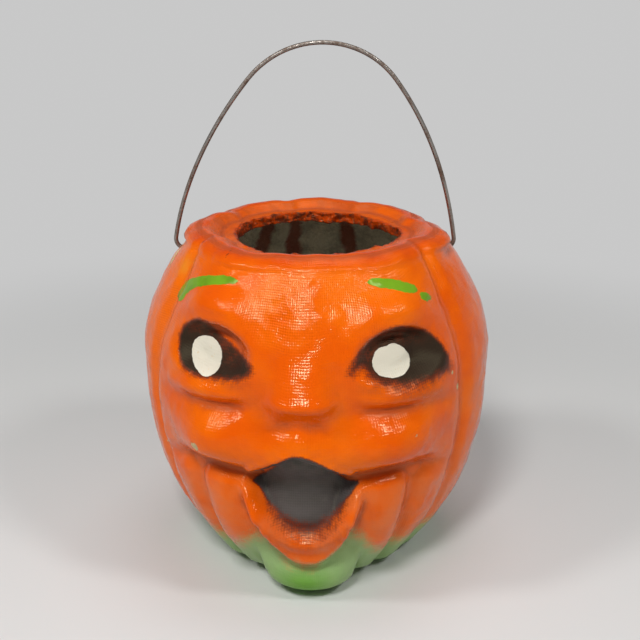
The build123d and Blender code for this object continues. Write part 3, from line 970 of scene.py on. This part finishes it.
def cut_bail_holes(shell, diameter):
    """Bores both bail holes through the shell and leaves their walls bare."""
    bpy.ops.object.select_all(action="DESELECT")
    bpy.ops.mesh.primitive_cylinder_add(
        vertices=bore_sides, radius=diameter / 2, depth=3 * half_width, calc_uvs=False, location=bail_middle,
        rotation=bail_way.to_track_quat("Z", "Y").to_euler())
    bore = bpy.context.object
    apply_modifier(shell, "BOOLEAN", object=bore, operation="DIFFERENCE", solver="MANIFOLD")
    bpy.data.objects.remove(bore)
    mesh = shell.data
    if not len(mesh.vertices):
        raise RuntimeError("cutting the bail holes left nothing of the shell")
    reach = np.linalg.norm(np.cross(mesh_points(mesh) - np.array(bail_middle), np.array(bail_way)), axis=1)
    wall = reach < bore_reach_share * diameter / 2
    bare_values = {"eye": far_away, "mouth": far_away, "pupil": far_away, "brow": far_away, "green": far_away,
                   "chip": well_inside, "run": far_away}
    for name, value in bare_values.items():
        layer = mesh.attributes[name].data
        values = np.zeros(len(layer), np.float32)
        layer.foreach_get("value", values)
        values[wall] = value
        layer.foreach_set("value", values)


def loose_mesh(obj):
    """Points and faces of a CAD node."""
    return [v.co for v in obj.data.vertices], [tuple(face.vertices) for face in obj.data.polygons]


def feed(tree, socket, value):
    """Links an input to another node, or sets its value."""
    if isinstance(value, bpy.types.NodeSocket):
        tree.links.new(value, socket)
    else:
        socket.default_value = value


def node(tree, kind, inputs=None, **settings):
    """Adds a shader node, sets its options and fills or links its inputs."""
    item = tree.nodes.new("ShaderNode" + kind)
    for name, value in settings.items():
        setattr(item, name, value)
    for name, value in (inputs or {}).items():
        feed(tree, item.inputs[name], value)
    return item


socket_names = {"base_color": "Base Color", "roughness": "Roughness", "normal": "Normal",
                "metallic": "Metallic", "specular_ior_level": "Specular IOR Level",
                "specular_tint": "Specular Tint", "emission_color": "Emission Color",
                "emission_strength": "Emission Strength", "color": "Color", "strength": "Strength"}


class Paints:
    """Short words for the nodes of one material, or of the world."""

    def __init__(self, owner, shader="Principled BSDF", place="Object"):
        self.owner = owner
        self.owner.use_nodes = True
        self.tree = self.owner.node_tree
        self.shader = self.tree.nodes[shader]
        self.place = node(self.tree, "TexCoord").outputs[place]

    def mask(self, name):
        """A paint mask stored on the mesh."""
        return node(self.tree, "Attribute", attribute_name=name).outputs["Fac"]

    def grain(self, size, detail=2.0, rough=0.5):
        """Noise from about minus one half to one half."""
        settings = {"Vector": self.place, "Scale": 1 / size, "Detail": detail, "Roughness": rough}
        return self.math("SUBTRACT", node(self.tree, "TexNoise", settings).outputs["Fac"], 0.5)

    def math(self, operation, a, b=0.0, c=0.0):
        """One step of arithmetic."""
        return node(self.tree, "Math", {0: a, 1: b, 2: c}, operation=operation).outputs[0]

    def plus(self, a, b, share=1.0):
        """One value and a share of another."""
        return self.math("MULTIPLY_ADD", b, share, a)

    def most(self, a, b):
        """The larger of two values."""
        return self.math("MAXIMUM", a, b)

    def times(self, a, b):
        """One value times another."""
        return self.math("MULTIPLY", a, b)

    def ramp(self, value, low, high, to_low=0.0, to_high=1.0):
        """A value eased from one range into another."""
        settings = {"Value": value, "From Min": low, "From Max": high, "To Min": to_low, "To Max": to_high}
        return node(self.tree, "MapRange", settings, interpolation_type="SMOOTHSTEP").outputs[0]

    def mix(self, share, a, b):
        """One colour laid over another."""
        fill = [value if isinstance(value, bpy.types.NodeSocket) else (*value, 1.0) for value in (a, b)]
        return node(self.tree, "Mix", {0: share, 6: fill[0], 7: fill[1]}, data_type="RGBA").outputs[2]

    def blend(self, share, a, b):
        """A value between two others."""
        return node(self.tree, "Mix", {0: share, 2: a, 3: b}, data_type="FLOAT").outputs[0]

    def bump(self, height, distance, under=None):
        """Relief, over another relief where one is given."""
        settings = {"Height": height, "Distance": distance, "Strength": 1.0}
        if under is not None:
            settings["Normal"] = under
        return node(self.tree, "Bump", settings).outputs[0]

    def finish(self, **sockets):
        """Feeds the shader and hands back the material or the world."""
        for name, value in sockets.items():
            feed(self.tree, self.shader.inputs[socket_names[name]], value)
        return self.owner

    def looked_at(self):
        """One for rays from the camera, a mirror or glass, and zero for rays that only carry light."""
        rays = node(self.tree, "LightPath").outputs
        mirrored = self.most(rays["Is Glossy Ray"], rays["Is Transmission Ray"])
        return self.most(rays["Is Camera Ray"], mirrored)


def screen_weave(p, pitch):
    """Crossed threads that follow the surface, from minus one to one."""
    screen = node(p.tree, "UVMap", uv_map="screen").outputs["UV"]
    scaled = node(p.tree, "VectorMath", {0: screen, "Scale": 2 * pi / pitch}, operation="SCALE")
    split = node(p.tree, "SeparateXYZ", {0: scaled.outputs[0]})
    stray = p.grain(stray_size)
    threads = [p.math("SINE", p.plus(split.outputs[i], stray, stray_turn)) for i in (0, 1)]
    return p.times(p.math("ADD", *threads), 0.5)


def pail_material(paint):
    """Gloss orange paint over screen-marked pulp, with the painted face and the bare inside."""
    p = Paints(bpy.data.materials.new("painted_pulp"))
    weave = screen_weave(p, paint.weave_pitch)
    broad = p.grain(broad_size, 3.0)
    patch = p.grain(patch_size, 3.0)
    ragged = p.grain(ragged_size, 3.0, 0.6)
    fine = p.grain(fine_size, 3.0, 0.6)

    def frayed(name, ragged_share, fine_share):
        """A mask with a ragged edge."""
        return p.plus(p.plus(p.mask(name), ragged, ragged_share), fine, fine_share)

    colour = p.mix(p.ramp(p.plus(broad, patch, 0.4), -0.22, 0.2), paint.deep_orange, paint.orange)
    colour = p.mix(p.ramp(fine, 0.08, 0.2, 0.0, 0.22), colour, paint.deep_orange)
    colour = p.mix(p.times(p.mask("rim"), p.ramp(patch, -0.2, 0.15, 0.95, 0.6)), colour, paint.rim_orange)
    colour = p.mix(p.times(p.mask("smear"), p.ramp(patch, -0.1, 0.12, 0.2, 0.9)), colour, paint.smear)
    # Painted shade in the creases, mixed with dust and overspray
    dust_and_shade = p.ramp(p.plus(p.mask("crease"), ragged, 0.47), 0.18, 1.0)
    colour = p.mix(p.times(dust_and_shade, 0.7), colour, paint.crease_dust_and_shade)
    # Pink dust and a painted reflection of the floor, low on the body
    low_sheen = p.times(p.mask("low"), p.ramp(p.plus(patch, broad, 0.8), -0.15, 0.25, 0.0, 0.34))
    colour = p.mix(low_sheen, colour, paint.low_dust_and_sheen)
    ledge = p.times(p.mask("ledge"), p.ramp(patch, -0.15, 0.15, 0.1, 0.55))
    colour = p.mix(ledge, colour, paint.crease_dust_and_shade)

    green = p.mix(p.plus(p.mask("leaf"), ragged, 0.3), paint.mint, paint.leaf)
    sprayed = p.ramp(p.plus(p.plus(p.mask("green"), ragged, 1.2), weave, 0.12), -0.9, 0.7)
    colour = p.mix(sprayed, colour, green)

    speckle = p.plus(p.plus(p.times(weave, 0.22), ragged, 1.6), fine, 1.4)
    haze = p.times(p.mask("haze"), p.ramp(speckle, -0.5, 0.5, 0.35, 0.8))
    colour = p.mix(haze, colour, shade(paint.brown, 1.6))
    eye = p.plus(p.mask("eye"), speckle)
    colour = p.mix(p.ramp(eye, -1.2, 0.5), colour, paint.brown)
    thin = p.times(p.mask("eye_thin"), p.ramp(p.plus(speckle, patch, 1.5), -0.5, 0.5, 0.1, 0.9))
    inked = p.mix(thin, paint.black, paint.brown)
    colour = p.mix(p.ramp(eye, -0.3, 1.4), colour, inked)
    mouth = p.plus(p.mask("mouth"), speckle)
    colour = p.mix(p.ramp(mouth, -1.2, 0.4), colour, paint.brown)
    scuffed = p.mix(p.ramp(p.plus(p.times(weave, 0.3), patch, 3.0), -0.6, 0.9, 0.0, 0.5), paint.mouth_black,
                    shade(paint.mouth_black, 2.0))
    colour = p.mix(p.ramp(mouth, -0.3, 1.3), colour, scuffed)

    pupil = p.ramp(frayed("pupil", 1.6, 1.6), -0.2, 0.4)
    cream = p.mix(p.ramp(fine, 0.14, 0.22, 0.0, 0.7), paint.cream, paint.tan)
    colour = p.mix(pupil, colour, cream)
    brow = p.ramp(frayed("brow", 3.0, 1.6), -0.3, 0.6)
    leafy = p.mix(p.ramp(patch, -0.1, 0.15), paint.brow_green, shade(paint.brow_green, 0.75))
    colour = p.mix(brow, colour, leafy)

    chip = p.ramp(frayed("chip", 9.0, 4.5), 0.0, 1.0)
    raw = p.mix(p.ramp(fine, -0.1, 0.15), paint.tan, shade(paint.tan, 0.7))
    colour = p.mix(chip, colour, raw)
    crack = p.ramp(p.plus(p.mask("crack"), ragged, 1.0), 0.35, 0.75)
    colour = p.mix(p.times(crack, 0.8), colour, shade(paint.brown, 0.5))
    torn = p.mask("torn")
    flakes = p.mix(p.ramp(p.plus(ragged, fine, 0.6), -0.12, 0.10), shade(paint.brown, 0.7),
                   shade(paint.rim_orange, 0.9))
    colour = p.mix(p.ramp(p.plus(torn, ragged, 1.2), 0.35, 0.75), colour, flakes)

    bare = p.mask("bare")
    pulp = p.mix(p.ramp(p.plus(patch, fine, 0.5), -0.15, 0.2), paint.pulp, shade(paint.pulp, 0.62))
    run = p.ramp(p.plus(p.plus(p.mask("run"), ragged, 2.0), patch, 4.0), -0.5, 1.3, 0.0, 0.85)
    colour = p.mix(bare, colour, p.mix(run, pulp, paint.run_red))
    under = p.ramp(p.plus(p.mask("under"), patch, 1.2), 0.3, 0.8)
    colour = p.mix(under, colour, pulp)

    unpainted = p.most(p.most(bare, under), chip)
    rough = p.ramp(p.plus(patch, broad, 0.6), -0.2, 0.2, *gloss_rough)
    rough = p.blend(p.most(dust_and_shade, ledge), rough, dusty_rough)
    rough = p.blend(sprayed, rough, sprayed_rough)
    airbrushed = p.most(p.ramp(mouth, -1.0, 1.0), p.ramp(eye, -1.0, 1.0))
    rough = p.blend(airbrushed, rough, airbrushed_rough)
    rough = p.blend(p.most(pupil, haze), rough, airbrushed_rough)
    rough = p.blend(brow, rough, brow_rough)
    rough = p.blend(unpainted, rough, bare_rough)

    marked = p.times(weave, p.ramp(broad, -0.2, 0.15, 0.65, 1.0))
    marked = p.blend(p.most(unpainted, brow), marked, 0.0)
    normal = p.bump(marked, paint.weave_depth)
    normal = p.bump(p.grain(ripple_size, 3.0, 0.5), ripple_depth, normal)
    normal = p.bump(p.times(p.most(bare, torn), p.grain(pulp_size, 4.0, 0.7)), pulp_depth, normal)
    normal = p.bump(p.math("SUBTRACT", p.plus(pupil, brow, 0.5), chip), enamel_depth, normal)
    return p.finish(base_color=colour, roughness=rough, normal=normal, specular_ior_level=paint.gloss,
                    specular_tint=(*paint.glint, 1.0))


def wire_material(bail):
    """Dull steel wire with brown tarnish."""
    p = Paints(bpy.data.materials.new("bail_wire"))
    fine = p.grain(pit_size, 3.0, 0.6)
    tarnished = p.ramp(p.plus(p.grain(tarnish_size, 4.0, 0.6), fine, 0.3), -0.15, 0.2)
    colour = p.mix(tarnished, bail.steel, bail.tarnish)
    rough = p.ramp(tarnished, 0.0, 1.0, *wire_rough)
    metal = p.ramp(tarnished, 0.0, 1.0, *wire_metal_shares)
    return p.finish(base_color=colour, roughness=rough, metallic=metal, normal=p.bump(fine, pit_depth))


def floor_material(stage):
    """Pale floor, lit near the pail and evenly pale where the lamps no longer reach."""
    p = Paints(bpy.data.materials.new("pale_floor"))
    reach = node(p.tree, "VectorMath", {0: p.place}, operation="LENGTH").outputs["Value"]
    far = p.times(p.looked_at(), p.ramp(reach, stage.pool, stage.pool_edge))
    dimmed = p.mix(far, stage.floor_colour, (0.0, 0.0, 0.0))
    return p.finish(base_color=dimmed, roughness=floor_rough, specular_ior_level=0.0,
                    emission_color=(1.0, 1.0, 1.0, 1.0), emission_strength=p.times(far, stage.far_light))


def paint_world(world, stage):
    """Pale round the horizon like the floor, with plain soft light from above."""
    p = Paints(world, "Background", "Generated")
    rise = node(p.tree, "SeparateXYZ", {0: p.place}).outputs["Z"]
    low = p.times(p.looked_at(), p.ramp(rise, sin(stage.haze_top), sin(2 * stage.haze_top), 1.0, 0.0))
    p.finish(color=(1.0, 1.0, 1.0, 1.0), strength=p.blend(low, stage.sky, stage.far_light))


def dress(piece, body, node_name, material):
    """Gives a finished piece its material and its body, and hides the CAD node that it stands for."""
    piece.data.materials.clear()
    piece.data.materials.append(material)
    pick_only(piece)
    bpy.ops.object.shade_smooth()
    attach(piece, body)
    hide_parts(node_name)


def lay_floor(stage):
    """Wide pale floor under the pail."""
    bpy.ops.object.select_all(action="DESELECT")
    bpy.ops.mesh.primitive_plane_add(size=stage.floor_size)
    floor = bpy.context.object
    floor.name = "floor"
    floor.data.materials.append(floor_material(stage))


def place_camera(stage, target):
    """Camera in front of the pail and a little above it."""
    way = Vector((cos(stage.camera_rise) * sin(stage.camera_turn),
                  -cos(stage.camera_rise) * cos(stage.camera_turn), sin(stage.camera_rise)))
    bpy.ops.object.camera_add(location=target + way * stage.camera_distance,
                              rotation=way.to_track_quat("Z", "Y").to_euler())
    camera = bpy.context.object
    camera.data.lens = stage.lens
    camera.data.shift_x = stage.lens_shift
    return camera


def hang_lamps(stage, target):
    """Round lamps above the camera, over the pail and at both sides, all aimed at the target."""
    right_fill = Vector(stage.fill_place)
    left_fill = Vector((-right_fill.x, right_fill.y, right_fill.z))
    lamps = (("key_lamp", Vector(stage.key_place), stage.key_size, stage.key_power),
             ("top_lamp", Vector(stage.top_place), stage.top_size, stage.top_power),
             ("left_fill", left_fill, stage.fill_size, stage.fill_power),
             ("right_fill", right_fill, stage.fill_size, stage.fill_power))
    for name, place, size, power in lamps:
        aim = (place - target).to_track_quat("Z", "Y").to_euler()
        bpy.ops.object.light_add(type="AREA", location=place, rotation=aim)
        lamp = bpy.context.object
        lamp.name = name
        lamp.data.shape = "DISK"
        lamp.data.size = size
        lamp.data.energy = power


class PAIL_OT_body(bpy.types.Operator):
    """Moulds the pulp body, cuts its bail holes and paints it"""

    bl_idname = "pail.mould_body"
    bl_label = "Mould and Paint Body"

    def execute(self, context):
        shape = context.scene.pail_shape
        tree = BVHTree.FromPolygons(*loose_mesh(frame["nodes"]["pulp_body"]))
        mould = Mould(tree, shape)
        shell, order = mould_mesh("painted_pail", mould)
        paint_masks(shell.data, order, mould)
        merge_doubles(shell)
        cut_bail_holes(shell, shape.bail_hole)
        dress(shell, "pail", "pulp_body", pail_material(context.scene.pail_paint))
        return {"FINISHED"}


class PAIL_OT_bail(bpy.types.Operator):
    """Bends the bail wire and tarnishes it"""

    bl_idname = "pail.bend_bail"
    bl_label = "Bend Bail"

    def execute(self, context):
        bail = context.scene.pail_bail
        wire = bpy.data.objects.new("tarnished_bail", frame["nodes"]["wire_bail"].data.copy())
        context.scene.collection.objects.link(wire)
        merge_doubles(wire)
        places = mesh_points(wire.data)
        rise = ease((places[:, 2] - bail_middle.z) / (bail_top - bail_middle.z))
        places += (bail.slide + bail.lean * rise[:, None]) * np.array(bail_way)
        wire.data.vertices.foreach_set("co", places.ravel())
        dress(wire, "bail", "wire_bail", wire_material(bail))
        return {"FINISHED"}


class PAIL_OT_stage(bpy.types.Operator):
    """Sets up the floor, the lamps and the camera"""

    bl_idname = "pail.set_stage"
    bl_label = "Set Stage"

    def execute(self, context):
        scene = context.scene
        stage = scene.pail_stage
        target = Vector((0, 0, stage.camera_height))
        lay_floor(stage)
        scene.camera = place_camera(stage, target)
        hang_lamps(stage, target)
        scene.world = scene.world or bpy.data.worlds.new("studio")
        paint_world(scene.world, stage)
        scene.view_settings.view_transform = "Standard"
        return {"FINISHED"}


class PAIL_PT_sidebar(bpy.types.Panel):
    """Lists the pail's pieces"""

    bl_label = "Candy Pail"
    bl_idname = "PAIL_PT_sidebar"
    bl_space_type = "VIEW_3D"
    bl_region_type = "UI"
    bl_category = "Pail"

    def draw(self, context):
        for operator in (PAIL_OT_body, PAIL_OT_bail, PAIL_OT_stage):
            self.layout.operator(operator.bl_idname)


classes = (PailShape, PailPaint, PailBail, PailStage, PAIL_OT_body, PAIL_OT_bail, PAIL_OT_stage,
           PAIL_PT_sidebar)
settings_groups = {"pail_shape": PailShape, "pail_paint": PailPaint, "pail_bail": PailBail,
                   "pail_stage": PailStage}


def register():
    """Adds the classes and their settings."""
    for item in classes:
        bpy.utils.register_class(item)
    for name, group in settings_groups.items():
        setattr(bpy.types.Scene, name, PointerProperty(type=group))


def unregister():
    """Takes the settings and the classes away again."""
    for name in settings_groups:
        delattr(bpy.types.Scene, name)
    for item in reversed(classes):
        bpy.utils.unregister_class(item)


def main():
    """Builds the pail and its stage."""
    register()
    bpy.ops.pail.mould_body()
    bpy.ops.pail.bend_bail()
    bpy.ops.pail.set_stage()
    bpy.context.view_layer.update()


if __name__ == "__main__":
    main()
